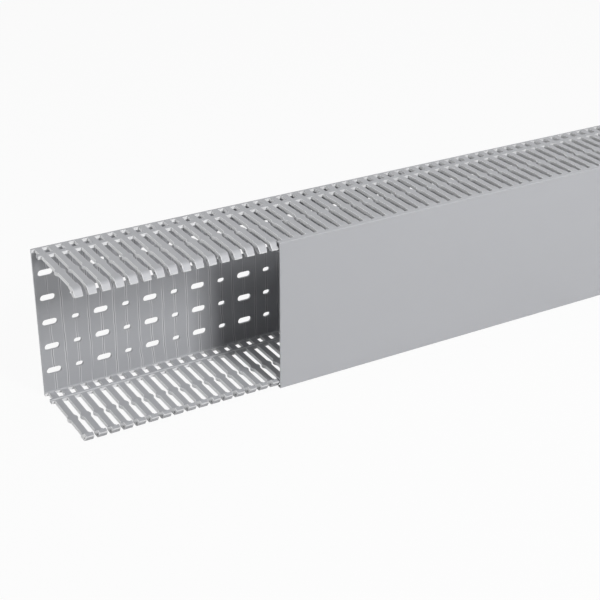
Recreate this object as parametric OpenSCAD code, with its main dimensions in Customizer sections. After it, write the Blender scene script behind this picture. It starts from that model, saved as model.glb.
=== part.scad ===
// Slotted wire duct: a channel with finger walls and the cover that clips over the finger tips.
// It stands on its lower finger wall. X runs along the duct, the back wall is at +Y, the cover at -Y.

/* [Overall] */
// Length of the base and of the cover
stock_length = 1000; // [500:12.5:2000]
// Outside width, from finger wall to finger wall
duct_width = 150; // [140:5:200]
// Outside depth, from the back to the face of the cover
duct_depth = 100; // [80:5:120]
// How far the cover is drawn back from the left end
cover_setback = 197; // [0:1:600]

/* [Walls] */
// Thickness of the back wall
back_wall = 2.2; // [1.8:0.1:3]
// Thickness of the finger walls and the finger noses
side_wall = 3.2; // [2:0.1:3.4]
// Thickness of the cover's panel
cover_wall = 1.5; // [1.2:0.1:2]
// Small bevel on the outer corners
edge = 0.5; // [0.3:0.1:0.8]
// Bevel in the inner corners between the back wall and the finger walls
corner = 0.8; // [0.3:0.1:1.2]

/* [Fingers] */
// Distance from one finger to the next
finger_pitch = 12.5; // [12:0.1:15]
// Width of the slot between two fingers
slot_width = 6.2; // [5:0.1:7.5]
// Width of the neck halfway along the slot
neck_width = 2.8; // [2:0.1:4]
// Place of the neck: 0 is the foot of the slot, 1 its front end
neck_share = 0.55; // [0.45:0.01:0.65]
// Length of the narrowest part of the neck
neck_flat = 2; // [1:0.1:5]
// Length of each shoulder that leads to the neck
neck_ramp = 3.6; // [2:0.1:5]
// Gap between two finger heads
head_gap = 4.4; // [1:0.1:5.5]
// How far the slot keeps from the front of the duct
slot_front = 15; // [12:0.5:18]
// Bevel on the corners of each head, across the finger
head_bevel = 0.3; // [0.3:0.1:1.5]
// Length of that bevel, front to back
head_bevel_length = 5; // [1:0.5:8]

/* [Foot of the fingers] */
// Distance from the back to the row of windows
window_start = 2.8; // [2.6:0.1:5]
// Length of a window, across the duct
window_length = 11.6; // [8:0.1:12]
// Strip between the windows and the slots, with the break line in it
break_strip = 5.2; // [3:0.1:6]
// Width of the break line's groove
break_width = 2.2; // [0.6:0.1:2.6]
// Depth of the break line's groove
break_depth = 0.6; // [0.2:0.1:0.8]

/* [Noses] */
// Length of the sloping nose, front to back
nose_length = 4; // [3.5:0.1:6]
// How far the nose turns inward
nose_drop = 5.8; // [5:0.1:6.5]
// Length of the nose's underside, from its front to its barb
nose_under = 3.9; // [3:0.1:4.2]
// Height of the nose's front edge
nose_edge = 1.4; // [0.8:0.1:1.8]
// How much further inward the nose reaches at its barb
barb_drop = 1; // [0:0.1:1.2]
// Length of the slope that leads from the finger's inside to the barb
barb_slope = 7.4; // [6:0.1:8]
// Radius of the bend where the nose starts
bend_radius = 4; // [1:0.5:5]
// Gap between the noses and the cover's panel
nose_gap = 0.5; // [0.3:0.1:0.8]

/* [Cover] */
// Running gap between the cover and the noses
clip_gap = 0.35; // [0.3:0.05:0.5]
// Thickness of the cover's lips and clip ribs
lip = 1.2; // [1:0.1:1.5]
// Thickness of the hook at the end of each rib, front to back
hook_thickness = 1.6; // [1.2:0.1:1.8]
// Height of that hook
hook_height = 1.3; // [1:0.1:1.4]
// Width of the hook's flat top
hook_flat = 0.4; // [0.2:0.1:0.6]

/* [Back wall] */
// Distance between rows of holes
row_pitch = 25; // [20:1:25]
// Rows of holes
rows = 5; // [1:2:5]
// How far each column of holes is from the middle of the nearest finger slot
hole_shift = 1.3; // [0:0.1:3]
// Length of a large fixing slot
large_slot_length = 14.5; // [12:0.5:18]
// Width of a large fixing slot
large_slot_width = 6.5; // [5:0.1:8]
// Length of a small fixing slot
small_slot_length = 7.5; // [7:0.5:10]
// Width of a small fixing slot
small_slot_width = 4.8; // [3.5:0.1:6]

/* [Hidden] */
$fn = 32;
over = 1;
column_pitch = 2 * finger_pitch;
first_column = finger_pitch - hole_shift;
columns = floor((stock_length - finger_pitch) / column_pitch) + 1;
slots = floor(stock_length / finger_pitch);
back_y = duct_depth / 2;
mid_z = duct_width / 2;
half_width = duct_width / 2;
left_x = -(stock_length + cover_setback) / 2;
grey = [0.69, 0.70, 0.72];
light_grey = [0.72, 0.73, 0.75];

// Where the slots run, measured from the back
window_end = window_start + window_length;
break_line = window_end + break_strip / 2;
slot_start = window_end + break_strip;
slot_end = duct_depth - slot_front;
neck_at = slot_start + neck_share * (slot_end - slot_start);

// The nose, measured from the back and from mid width
tip = duct_depth - cover_wall - nose_gap;
crease = tip - nose_length;
nose_run = sqrt(nose_length * nose_length + nose_drop * nose_drop);
along = [nose_length / nose_run, -nose_drop / nose_run];
inward = [-nose_drop / nose_run, -nose_length / nose_run];
nose_top = half_width - nose_drop;
nose_low = nose_top - nose_edge;
barb_low = nose_low - barb_drop;
bend_angle = atan2(nose_drop, nose_length);
bend_centre = [crease - bend_radius * tan(bend_angle / 2), half_width - bend_radius];
bend_steps = 3;
bend = [
    for (i = [0 : bend_steps])
        let (turn = i / bend_steps * bend_angle)
            bend_centre + bend_radius * [sin(turn), cos(turn)]
];
barb_y = tip - nose_under;
slope_rise = half_width - side_wall - barb_low;
slope_run = sqrt(barb_slope * barb_slope + slope_rise * slope_rise);
up_slope = [-barb_slope, slope_rise] / slope_run;
off_slope = [-slope_rise, -barb_slope] / slope_run;

// The cover's lip follows the nose, and the hook of its rib follows the slope behind the barb
panel = duct_depth - cover_wall;
lip_low = half_width - lip;
nose_side = [crease, half_width] - inward * clip_gap;
lip_end = nose_side[0] + (half_width - nose_side[1]) / along[1] * along[0];
lip_foot = nose_side[0] + (lip_low - nose_side[1]) / along[1] * along[0];
rib_top = barb_low - clip_gap;
hook_top = rib_top + hook_height;
barb_side = [barb_y, barb_low] + off_slope * clip_gap;
hook_foot = barb_side[0] + (rib_top - barb_side[1]) / up_slope[1] * up_slope[0];
hook_tip = barb_side[0] + (hook_top - barb_side[1]) / up_slope[1] * up_slope[0];
hook_back = hook_tip - hook_thickness;

// Half sections, as [distance from the back, height above mid width]
base_half = [
    [0, half_width - edge],
    [edge, half_width],
    each bend,
    [tip, nose_top],
    [tip, nose_low],
    [barb_y, barb_low],
    [barb_y - barb_slope, half_width - side_wall],
    [break_line + break_width / 2, half_width - side_wall],
    [break_line, half_width - side_wall + break_depth],
    [break_line - break_width / 2, half_width - side_wall],
    [back_wall + corner, half_width - side_wall],
    [back_wall, half_width - side_wall - corner]
];

cover_half = [
    [duct_depth, half_width - edge],
    [duct_depth - edge, half_width],
    [lip_end, half_width],
    [lip_foot, lip_low],
    [panel, lip_low],
    [panel, rib_top],
    [hook_foot, rib_top],
    [hook_tip, hook_top],
    [hook_tip - hook_flat, hook_top],
    [hook_back, rib_top],
    [hook_back, rib_top - lip],
    [panel, rib_top - lip]
];

// The whole section: the half and its mirror image, placed in the duct's own frame
function upper(half) = [for (p = half) [back_y - p[0], mid_z + p[1]]];
function lower(half) = [for (i = [len(half) - 1 : -1 : 0]) [back_y - half[i][0], mid_z - half[i][1]]];

module length_of(long, half) {
    rotate([90, 0, 90])
        linear_extrude(height = long)
            polygon(concat(upper(half), lower(half)));
}

module slot_plan() {
    w = slot_width / 2;
    n = neck_width / 2;
    g = head_gap / 2;
    polygon([
        [-w, -slot_start],
        [-w, -(neck_at - neck_flat / 2 - neck_ramp)],
        [-n, -(neck_at - neck_flat / 2)],
        [-n, -(neck_at + neck_flat / 2)],
        [-w, -(neck_at + neck_flat / 2 + neck_ramp)],
        [-w, -slot_end],
        [-g, -slot_end],
        [-g, -(tip - head_bevel_length)],
        [-g - head_bevel, -tip],
        [-g - head_bevel, -(tip + over)],
        [g + head_bevel, -(tip + over)],
        [g + head_bevel, -tip],
        [g, -(tip - head_bevel_length)],
        [g, -slot_end],
        [w, -slot_end],
        [w, -(neck_at + neck_flat / 2 + neck_ramp)],
        [n, -(neck_at + neck_flat / 2)],
        [n, -(neck_at - neck_flat / 2)],
        [w, -(neck_at - neck_flat / 2 - neck_ramp)],
        [w, -slot_start]
    ]);
}

module window_plan() {
    translate([-slot_width / 2, -window_end])
        square([slot_width, window_length]);
}

// The slots and windows of both finger walls are punched straight through, side to side
module punched_sides() {
    translate([0, back_y, -over])
        linear_extrude(height = duct_width + 2 * over)
            for (k = [0 : slots])
                translate([k * finger_pitch, 0]) {
                    slot_plan();
                    window_plan();
                }
}

module fixing_slot(long, wide) {
    translate([-(long - wide) / 2, 0])
        circle(d = wide);
    translate([(long - wide) / 2, 0])
        circle(d = wide);
    translate([-(long - wide) / 2, -wide / 2])
        square([long - wide, wide]);
}

// Large and small fixing slots take turns along the back wall
module punched_back() {
    translate([0, back_y + over, mid_z])
        rotate([90, 0, 0])
            linear_extrude(height = back_wall + 2 * over)
                for (c = [0 : columns - 1], r = [-(rows - 1) / 2 : (rows - 1) / 2])
                    translate([first_column + c * column_pitch, r * row_pitch])
                        if (c % 2 == 0) fixing_slot(large_slot_length, large_slot_width);
                        else fixing_slot(small_slot_length, small_slot_width);
}

module duct_base() {
    color(grey)
        translate([left_x, 0, 0])
            difference() {
                length_of(stock_length, base_half);
                punched_sides();
                punched_back();
            }
}

module cover() {
    color(light_grey)
        translate([left_x + cover_setback, 0, 0])
            length_of(stock_length, cover_half);
}

duct_base();
cover();
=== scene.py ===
# %% [markdown]
# # A slotted wire duct
# The object is a length of grey PVC wiring duct. It has two pieces. The base is an extruded channel
# whose side walls are punched into fingers, so that wires can leave it anywhere. The cover is a flat
# extruded strip that clips over the finger tips, and here it is drawn back to show the inside.
#
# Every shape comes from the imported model, at real size. This script adds what a shape alone can't
# give: the surface of the plastic, the marks of its making, the light, the floor and the camera.

import bpy
from mathutils import Matrix, Vector

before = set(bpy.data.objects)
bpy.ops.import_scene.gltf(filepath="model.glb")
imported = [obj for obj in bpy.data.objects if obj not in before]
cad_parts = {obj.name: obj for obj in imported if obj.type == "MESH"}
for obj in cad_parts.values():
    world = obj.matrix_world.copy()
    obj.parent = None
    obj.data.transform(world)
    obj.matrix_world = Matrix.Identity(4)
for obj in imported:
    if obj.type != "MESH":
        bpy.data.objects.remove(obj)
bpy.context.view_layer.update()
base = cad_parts["duct_base"]
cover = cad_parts["cover"]

# %% [markdown]
# ## The numbers that the finishes share
# The marks on the plastic follow the punched pattern, so the finish needs the pattern's numbers: where
# the duct starts, how far apart its fingers are, and where its walls stand. They could be measured from
# the mesh, but a punched pattern is regular, so a few plain numbers place every mark.

# %% Sizes, in millimetres
LEFT_END = -598.5
LENGTH = 1000.0
PITCH = 12.5
FIRST_HOLE = 11.2
WIDTH = 150.0
DEPTH = 100.0
BACK_FACE = 50.0
BACK_WALL = 2.2
SIDE_WALL = 3.2
INNER_FACE = WIDTH / 2 - SIDE_WALL
print("the base has", int(LENGTH / PITCH), "fingers on each side")

# %% [markdown]
# ## A short way to write shader maths
# A procedural finish is a sum of small formulas, such as "one minus the mask, times the colour". Built
# by hand, each sign is a Math node and two links. Here a small class holds one output of a node, and
# Python's own signs add the Math nodes, so that a formula reads as it would on paper. Every other kind
# of node comes from one method, which sets the node up first and then feeds its sockets.


# %% The wire class
class Wire:
    """One output of a shader node. Signs between wires and numbers add Math nodes."""

    def __init__(self, socket):
        self.socket = socket

    def node(self, kind, settings=None, inputs=None, out=0):
        return Wire.make(self.socket.id_data, kind, settings, inputs, out)

    @staticmethod
    def make(tree, kind, settings=None, inputs=None, out=0):
        node = tree.nodes.new(kind)
        for name, value in (settings or {}).items():
            if name == "stops":
                ramp = node.color_ramp
                while len(ramp.elements) < len(value):
                    ramp.elements.new(1.0)
                for element, (place, level) in zip(ramp.elements, value):
                    element.position = place
                    element.color = (level, level, level, 1.0)
            else:
                setattr(node, name, value)
        for name, value in (inputs or {}).items():
            if isinstance(value, Wire):
                tree.links.new(value.socket, node.inputs[name])
            else:
                node.inputs[name].default_value = value
        return Wire(node.outputs[out])

    def math(self, operation, *others):
        terms = {i: t for i, t in enumerate((self,) + others)}
        return self.node("ShaderNodeMath", {"operation": operation}, terms)

    def flipped(self, operation, other):
        return self.node("ShaderNodeMath", {"operation": operation}, {0: other, 1: self})

    def __add__(self, other):
        return self.math("ADD", other)

    def __radd__(self, other):
        return self.flipped("ADD", other)

    def __sub__(self, other):
        return self.math("SUBTRACT", other)

    def __rsub__(self, other):
        return self.flipped("SUBTRACT", other)

    def __mul__(self, other):
        return self.math("MULTIPLY", other)

    def __rmul__(self, other):
        return self.flipped("MULTIPLY", other)

    def __truediv__(self, other):
        return self.math("DIVIDE", other)

    def __gt__(self, other):
        return self.math("GREATER_THAN", other)

    def __lt__(self, other):
        return self.math("LESS_THAN", other)

    def __abs__(self):
        return self.math("ABSOLUTE")


# %% [markdown]
# ## Helpers for masks
# A mask is a number from 0 to 1 that says where something shows. Three kinds do all the work here: a
# soft step between two values, the distance to the nearest of many lines a pitch apart, and noise.
# The other helpers join masks, start and end a material, and tell the camera's rays from the rest.


# %% Mask helpers
def step(wire, start, end):
    """Goes smoothly from 0 to 1 while the wire goes from start to end."""
    return wire.node(
        "ShaderNodeMapRange",
        {"interpolation_type": "SMOOTHSTEP"},
        {"Value": wire, "From Min": start, "From Max": end, "To Min": 0.0, "To Max": 1.0},
    )


def band(wire, low, high, soft):
    """1 between low and high, and 0 outside, with soft edges."""
    return step(wire, low - soft, low + soft) * (1 - step(wire, high - soft, high + soft))


def from_line(wire, pitch, first=0.0):
    """Distance to the nearest of the lines at first, first + pitch, and so on."""
    turns = (wire - (first - pitch / 2)) / pitch
    return abs(turns.math("FRACT") - 0.5) * pitch


def noise(place, scale, detail=2.0, roughness=0.5):
    """Noise from 0 to 1, with features of about 1 / scale."""
    return place.node(
        "ShaderNodeTexNoise",
        {"noise_dimensions": "3D"},
        {"Vector": place, "Scale": scale, "Detail": detail, "Roughness": roughness},
    )


def clamped(wire):
    """The wire, held between 0 and 1."""
    return wire.math("MINIMUM", 1.0).math("MAXIMUM", 0.0)


def strongest(masks):
    """The largest of many masks, each times its own strength."""
    total = masks[0][0] * masks[0][1]
    for mask, strength in masks[1:]:
        total = total.math("MAXIMUM", mask * strength)
    return total


def stretched(x, y, z, scales):
    """A place vector with each axis scaled, so that noise becomes streaks."""
    parts = {0: x * scales[0], 1: y * scales[1], 2: z * scales[2]}
    return x.node("ShaderNodeCombineXYZ", None, parts)


def mixed(amount, first, second):
    """A colour between first and second."""
    kind = {"data_type": "RGBA", "blend_type": "MIX"}
    return amount.node("ShaderNodeMix", kind, {0: amount, 6: first, 7: second}, out=2)


def camera_sees(tree):
    """1 for the camera, mirrors and glass, and 0 for the light that bounces around."""
    rays = Wire.make(tree, "ShaderNodeLightPath")
    kinds = rays.socket.node.outputs
    seen = Wire(kinds["Is Camera Ray"])
    for kind in ("Is Glossy Ray", "Is Transmission Ray"):
        seen = seen.math("MAXIMUM", Wire(kinds[kind]))
    return seen


# %% Start and end a material
def start_finish(name):
    """A new material, its tree and its Principled shader."""
    material = bpy.data.materials.new(name)
    material.use_nodes = True
    tree = material.node_tree
    return material, tree, tree.nodes["Principled BSDF"]


def end_finish(piece, material, colour, rough, height, strength):
    """Feeds the shader, turns the height into a bump, and puts the material on the piece."""
    tree = material.node_tree
    shader = tree.nodes["Principled BSDF"]
    relief = {"Strength": strength, "Distance": 0.001, "Height": height}
    bump = height.node("ShaderNodeBump", None, relief)
    tree.links.new(colour.socket, shader.inputs["Base Color"])
    tree.links.new(rough.socket, shader.inputs["Roughness"])
    tree.links.new(bump.socket, shader.inputs["Normal"])
    piece.data.materials.clear()
    piece.data.materials.append(material)
    print(piece.name, "has a finish of", len(tree.nodes), "nodes")


def places(tree):
    """The point on the duct in millimetres, and the way that the surface faces."""
    point = Wire.make(tree, "ShaderNodeTexCoord", out=3)
    facing = Wire.make(tree, "ShaderNodeTexCoord", out=1)
    split = point.node("ShaderNodeSeparateXYZ", None, {0: point})
    faces = facing.node("ShaderNodeSeparateXYZ", None, {0: facing})
    outs = split.socket.node.outputs
    ways = faces.socket.node.outputs
    x, y, z = (Wire(o) * 1000.0 for o in outs)
    return (x, y, z), tuple(Wire(o) for o in ways)


print("helpers are ready")

# %% [markdown]
# ## The base's plastic
# Rigid PVC leaves the die with a satin skin and very faint lines along its length. The punch then
# leaves paler, rougher cut faces, because it whitens the plastic.
#
# The masks for this need two things only: which way a face looks, and where it stands. The places are
# counted as a worker would count them: along the duct from its open end, in depth from its back, and
# to the side from the middle of its width.

# %% Cut faces of the base
PVC = (0.400, 0.406, 0.425, 1.0)
PVC_PALE = (0.560, 0.566, 0.585, 1.0)
PVC_WHITE = (0.800, 0.803, 0.810, 1.0)
PVC_DARK = (0.060, 0.062, 0.068, 1.0)

base_pvc, tree, _ = start_finish("base_pvc_satin")
(x, y, z), (nx, ny, nz) = places(tree)
along = x - LEFT_END
depth = BACK_FACE - y
side = abs(z - WIDTH / 2)
faces_left = nx * -1.0
faces_front = ny * -1.0

in_wall = side > INNER_FACE + 0.2
punched_end = step(abs(ny), 0.7, 0.9) * in_wall * band(depth, 2.6, 90.0, 0.1)
cut = step(abs(nx), 0.25, 0.5).math("MAXIMUM", punched_end)
print("the cut faces are masked")

# %% [markdown]
# The punch also rolls a rim along each slot. Its pale colour is partly whitening by the punch and
# partly a painted highlight of the rounded edge, and it is painted stronger on the side that the left
# lamp lights. The rim has to follow the slot, which narrows to a neck and again between the heads. It
# could be modelled, but it is a few tenths of a millimetre. Here a colour ramp holds half the slot's
# width at each depth, so the distance from any point to the slot's edge is one subtraction.

# %% Rims along the slots, partly painted highlight
SLOT_FOOT = 19.6
SLOT_HALF = 3.1
NECK_HALF = 1.4
HEAD_HALF = 2.2
RAMP_TOP = 4.0
# Each stop is a share of the duct's depth, and half the slot's width there
SLOT_SHAPE = [
    (0.194, SLOT_HALF),
    (0.510, SLOT_HALF),
    (0.546, NECK_HALF),
    (0.566, NECK_HALF),
    (0.602, SLOT_HALF),
    (0.849, SLOT_HALF),
    (0.851, HEAD_HALF),
    (0.930, HEAD_HALF),
    (0.980, HEAD_HALF + 0.3),
]
half = depth.node(
    "ShaderNodeValToRGB",
    {"stops": [(share, width / RAMP_TOP) for share, width in SLOT_SHAPE]},
    {0: depth / DEPTH},
)
from_slot = ((along / PITCH + 0.5).math("FRACT") - 0.5) * PITCH
# painted highlight: the rim is made stronger on the edge that faces the left lamp
lit_side = 0.2 + 0.8 * step(from_slot, -0.1, 0.1)
rim_gap = abs(from_slot) - half * RAMP_TOP
rim_and_highlight = (1 - step(rim_gap, 0.2, 0.9)) * lit_side * step(depth, SLOT_FOOT - 0.5, SLOT_FOOT) * (1 - cut)
print("the rims follow", len(SLOT_SHAPE), "widths of a slot")

# %% [markdown]
# Four more places are pale. The noses' front edges carry a painted highlight, where their rounded edge
# catches the light. The sides of the fingers and heads that face the open end are painted lighter,
# because the left lamp lights them. Inside, the break line at the foot of the fingers shows as a pale
# line, and the corner with the back wall has a painted highlight along its fillet. Each head also has a
# small dimple on the side that faces the open end, with its shade painted dark.

# %% Painted highlights, pale lines and painted dimple shade
NOSE_LOW = 66.5
TIP_DEPTH = 98.0
BREAK_LINE = (16.4, 18.8)
DIMPLE_DEPTH = 93.6
DIMPLE_SIDE = 71.6

# painted highlight along the noses' front edges
tip_highlight = step(faces_front, 0.8, 0.95) * step(depth, TIP_DEPTH - 1.0, TIP_DEPTH - 0.6)
# painted light: flanks that face the open end are made lighter, as the left lamp lights them
lit_flank = step(faces_left, 0.25, 0.5) * (side > NOSE_LOW) * (along > 1.0)
on_inside = band(side, INNER_FACE, INNER_FACE + 0.8, 0.3) * (abs(nz) > 0.5)
# a pale line along the break line, and a painted highlight along the corner with the back wall
break_line_and_corner_highlight = band(depth, *BREAK_LINE, 0.8) + band(depth, BACK_WALL, BACK_WALL * 2, 0.5)
# painted shade: the dark spot stands for the shade inside each head's small dimple
dot_y = (depth - DIMPLE_DEPTH) / 0.8
dot_z = (side - DIMPLE_SIDE) / 1.2
dimple_shade = 1 - step((dot_y * dot_y + dot_z * dot_z).math("SQRT"), 0.6, 1.0)
dimple_shade = dimple_shade * step(faces_left, 0.5, 0.7)
print("a dimple sits", DIMPLE_DEPTH, "mm from the back")

# %% [markdown]
# The inside of the back wall carries upright marks at the fingers' pitch: a thin dark line with a pale
# line on each side of it. They wander a little, as if drawn by a worn edge, so a wide, slow noise moves
# each line sideways before the distance to it is taken.

# %% Marks on the back wall
inside_back = step(faces_front, 0.7, 0.9) * band(depth, 1.0, 3.0, 0.2) * (side < INNER_FACE)
sway = noise(stretched(x, y, z, (0.02, 0.02, 0.06)), 1.0, 1.0)
crooked = along + (sway - 0.5) * 3.0
from_mark = from_line(crooked, PITCH, FIRST_HOLE)
faded = step(noise(stretched(x, y, z, (0.3, 0.3, 0.03)), 1.0, 2.0), 0.25, 0.6)
marks = band(from_mark, 0.6, 1.1, 0.2) * inside_back * faded
dark_line = (1 - step(from_mark, 0.1, 0.5)) * inside_back * faded
print("the marks repeat every", PITCH, "mm")

# %% [markdown]
# The masks now come together. Where several of them meet, the pale colour and the painted highlights
# aren't added twice, so the strongest one wins. One height made of the same masks drives the bump, so
# colour and relief agree.

# %% Colour, roughness and relief of the base
grain = noise(stretched(x, y, z, (1.0, 1.0, 1.0)), 3.0, 3.0, 0.6)
die_lines = noise(stretched(x, y, z, (0.004, 1.4, 1.4)), 1.0, 3.0, 0.6)
clouds = noise(stretched(x, y, z, (1.0, 1.0, 1.0)), 0.035, 2.0)
pale = cut * 0.55 + (clouds - 0.5) * 0.25 + (die_lines - 0.5) * 0.16
colour = mixed(clamped(pale), PVC, PVC_PALE)
pale_and_highlights = strongest(
    [
        (punched_end, 0.90),
        (rim_and_highlight, 0.60),
        (tip_highlight, 0.70),
        (lit_flank, 1.00),
        (marks, 0.75),
        (break_line_and_corner_highlight * on_inside, 0.60),
    ]
)
colour = mixed(pale_and_highlights, colour, PVC_WHITE)
# painted shade in the dimples, and the dark lines of the back wall's marks
colour = mixed(dimple_shade * 0.8 + dark_line * 0.50, colour, PVC_DARK)
rough = 0.44 + cut * 0.16 + (grain - 0.5) * 0.12
height = grain * 0.02 + die_lines * 0.03 - rim_and_highlight * 0.12 - dimple_shade * 0.2 + marks * 0.05
end_finish(base, base_pvc, colour, rough, height, 0.6)

# %% [markdown]
# ## The cover's plastic
# The cover comes from another die. It is one smooth, even face with a little more sheen. Only faint
# lines along its length and a paler sawn end show how it was made.

# %% The cover's finish
COVER_PVC = (0.430, 0.436, 0.456, 1.0)
cover_pvc, tree, _ = start_finish("cover_pvc_satin")
(x, y, z), (nx, _, _) = places(tree)
cut = step(abs(nx), 0.25, 0.5)
grain = noise(stretched(x, y, z, (1.0, 1.0, 1.0)), 4.0, 3.0, 0.6)
die_lines = noise(stretched(x, y, z, (0.003, 0.8, 0.8)), 1.0, 3.0, 0.6)
clouds = noise(stretched(x, y, z, (1.0, 1.0, 1.0)), 0.02, 2.0)
pale = cut * 0.7 + (clouds - 0.5) * 0.10 + (die_lines - 0.5) * 0.08
colour = mixed(clamped(pale), COVER_PVC, PVC_PALE)
rough = 0.40 + cut * 0.18 + (grain - 0.5) * 0.08
height = grain * 0.012 + die_lines * 0.02
end_finish(cover, cover_pvc, colour, rough, height, 0.5)

# %% [markdown]
# ## Floor and background
# A catalogue picture has a white ground. If more light made the ground white, the plastic would wash
# out. So the ground glows white only where the camera or a mirror ray sees it, at a strength of one,
# and a little of its own shading is mixed back in, which keeps the duct's shadow on the floor.

# %% The floor
FLOOR_GLOW = 0.94
bpy.ops.mesh.primitive_plane_add(size=12.0, location=(0.0, 0.0, 0.0))
floor = bpy.context.object
floor.name = "studio_floor"
floor_paint, tree, shader = start_finish("floor_white")
shader.inputs["Base Color"].default_value = (0.60, 0.60, 0.60, 1.0)
shader.inputs["Roughness"].default_value = 0.9
glow = Wire.make(tree, "ShaderNodeEmission", None, {"Color": (1, 1, 1, 1), "Strength": 1.0})
blend = camera_sees(tree) * FLOOR_GLOW
cast = Wire(shader.outputs[0])
ground = blend.node("ShaderNodeMixShader", None, {0: blend, 1: cast, 2: glow})
tree.links.new(ground.socket, tree.nodes["Material Output"].inputs[0])
floor.data.materials.append(floor_paint)
print("the floor glows at", FLOOR_GLOW)

# %% [markdown]
# The world works the same way: it is white to look at, but it lights the plastic only weakly, so that
# the soft boxes decide how bright each face is.

# %% The world
WORLD_LEVEL = 0.04
world = bpy.data.worlds.new("studio")
bpy.context.scene.world = world
world.use_nodes = True
tree = world.node_tree
level = WORLD_LEVEL + camera_sees(tree) * (1.0 - WORLD_LEVEL)
sky = tree.nodes["Background"]
sky.inputs["Color"].default_value = (1, 1, 1, 1)
tree.links.new(level.socket, sky.inputs["Strength"])
print("the world's level is", WORLD_LEVEL)

# %% [markdown]
# ## Lamps
# Three soft boxes make the light. The main one stands in front, to the right and high up, because the
# cover's shadow falls on the back wall just left of the cover's own end. A weak one hangs over the duct
# for the fingers' outer faces. One at the left lights the sawn end and the flanks of the fingers.


# %% The soft boxes
def soft_box(name, place, target, width, height, power):
    """A rectangular lamp that looks at the target, and that the camera can't see."""
    light = bpy.data.lights.new(name, "AREA")
    light.shape = "RECTANGLE"
    light.size = width
    light.size_y = height
    light.energy = power
    lamp = bpy.data.objects.new(name, light)
    bpy.context.scene.collection.objects.link(lamp)
    lamp.location = place
    lamp.rotation_euler = (Vector(target) - Vector(place)).to_track_quat("-Z", "Y").to_euler()
    lamp.visible_camera = False
    print(name, "gives", power, "W")


open_end = (-0.45, 0.0, 0.075)
soft_box("front_box", (0.17, -2.0, 1.47), open_end, 0.70, 1.0, 51.5)
soft_box("top_box", (0.40, 0.10, 1.6), (0.0, 0.0, 0.1), 1.6, 1.2, 7.5)
soft_box("left_box", (-2.4, 0.25, 1.0), open_end, 0.8, 0.8, 19.0)

# %% [markdown]
# ## Camera
# The camera stands where the photo's own camera stood: before the open end, to its left and above it.
# Its place was found by fitting a pinhole camera to the grid of holes and fingers, whose real
# distances are known. The far end leaves the picture on the right, as in the photo.

# %% The camera
EYE = (-0.93550, -1.00070, 0.63969)
RIGHT = Vector((0.86399935, -0.50349124, 0.00130362))
UP = Vector((0.22458046, 0.38769855, 0.89400976))
LENS = 80.30
lens = bpy.data.cameras.new("photo_camera")
lens.sensor_fit = "HORIZONTAL"
lens.sensor_width = 36.0
lens.lens = LENS
lens.clip_start = 0.01
camera = bpy.data.objects.new("photo_camera", lens)
bpy.context.scene.collection.objects.link(camera)
turn = Matrix((RIGHT, UP, RIGHT.cross(UP))).transposed()
camera.matrix_world = Matrix.Translation(EYE) @ turn.to_4x4()
bpy.context.scene.camera = camera
bpy.context.scene.view_settings.view_transform = "Standard"
print("the camera is", round((Vector(EYE) - Vector(open_end)).length, 2), "m from the open end")
